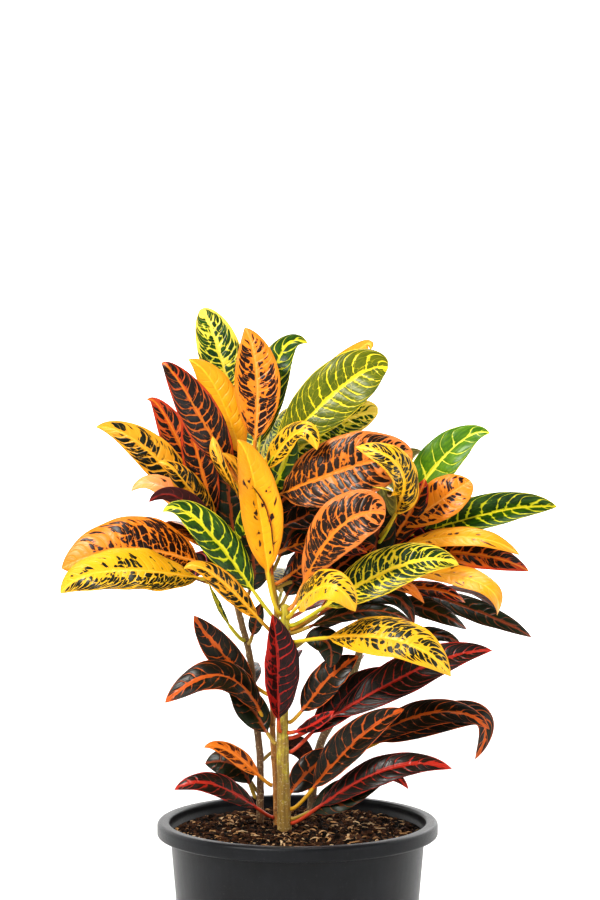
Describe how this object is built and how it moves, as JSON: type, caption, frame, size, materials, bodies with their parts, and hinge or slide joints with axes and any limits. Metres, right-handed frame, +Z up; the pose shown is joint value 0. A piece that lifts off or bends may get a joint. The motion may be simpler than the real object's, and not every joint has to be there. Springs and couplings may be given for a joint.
{
  "type": "potted croton",
  "caption": "Croton house plant with long mottled leaves in yellow, orange, red and green on woody stems, growing in a round charcoal nursery pot.",
  "frame": {"origin": "middle of the pot's underside", "axes": "+Z up along the pot's axis, -Y the plant's front, +X its right as seen from the front"},
  "size_m": [0.4954, 0.3524, 0.7526],
  "materials": {
    "pot_plastic": "satin charcoal, moulded",
    "potting_mix": "damp bark and peat crumbs",
    "stem_bark": "smooth young bark with leaf scars",
    "leaf_lime": "glossy, yellow-green with green blotches",
    "leaf_orange": "glossy, orange with dark blotches along the veins",
    "leaf_green": "glossy, green with yellow veins",
    "leaf_ember": "glossy, dark with orange-red veins",
    "leaf_yellow": "glossy, yellow with dark spots",
    "leaf_dusk": "glossy, dark green with orange-red veins",
    "leaf_wine": "glossy, dark red with red veins"
  },
  "bodies": {
    "root": {"pot": "pot_plastic", "soil": "potting_mix", "front_stem": "stem_bark", "tall_stem": "stem_bark", "left_stem": "stem_bark", "right_stem": "stem_bark", "top_leaf_1": "leaf_lime", "top_leaf_2": "leaf_orange", "top_leaf_3": "leaf_green", "top_leaf_4": "leaf_ember", "top_leaf_5": "leaf_yellow", "top_leaf_6": "leaf_green", "top_leaf_7": "leaf_lime", "top_leaf_8": "leaf_lime", "top_leaf_9": "leaf_yellow", "top_leaf_10": "leaf_orange", "top_leaf_11": "leaf_dusk", "top_leaf_12": "leaf_lime", "left_leaf_1": "leaf_green", "left_leaf_2": "leaf_ember", "left_leaf_3": "leaf_orange", "left_leaf_4": "leaf_wine", "left_leaf_5": "leaf_orange", "left_leaf_6": "leaf_wine", "left_leaf_7": "leaf_orange", "left_leaf_8": "leaf_yellow", "front_leaf_1": "leaf_yellow", "front_leaf_2": "leaf_orange", "front_leaf_3": "leaf_green", "front_leaf_4": "leaf_yellow", "front_leaf_5": "leaf_green", "front_leaf_6": "leaf_ember", "front_leaf_7": "leaf_wine", "front_leaf_8": "leaf_ember", "front_leaf_9": "leaf_yellow", "front_leaf_10": "leaf_dusk", "front_leaf_11": "leaf_dusk", "front_leaf_12": "leaf_wine", "right_leaf_1": "leaf_orange", "right_leaf_2": "leaf_green", "right_leaf_3": "leaf_green", "right_leaf_4": "leaf_yellow", "right_leaf_5": "leaf_wine", "right_leaf_6": "leaf_orange", "right_leaf_7": "leaf_wine", "right_leaf_8": "leaf_ember", "right_leaf_9": "leaf_dusk", "right_leaf_10": "leaf_yellow", "low_leaf_1": "leaf_wine", "low_leaf_2": "leaf_dusk", "low_leaf_3": "leaf_dusk", "low_leaf_4": "leaf_dusk", "low_leaf_5": "leaf_wine", "low_leaf_6": "leaf_dusk", "low_leaf_7": "leaf_dusk", "low_leaf_8": "leaf_ember", "low_leaf_9": "leaf_wine", "back_leaf_1": "leaf_green", "back_leaf_2": "leaf_orange", "back_leaf_3": "leaf_wine"}
  },
  "joints": []
}
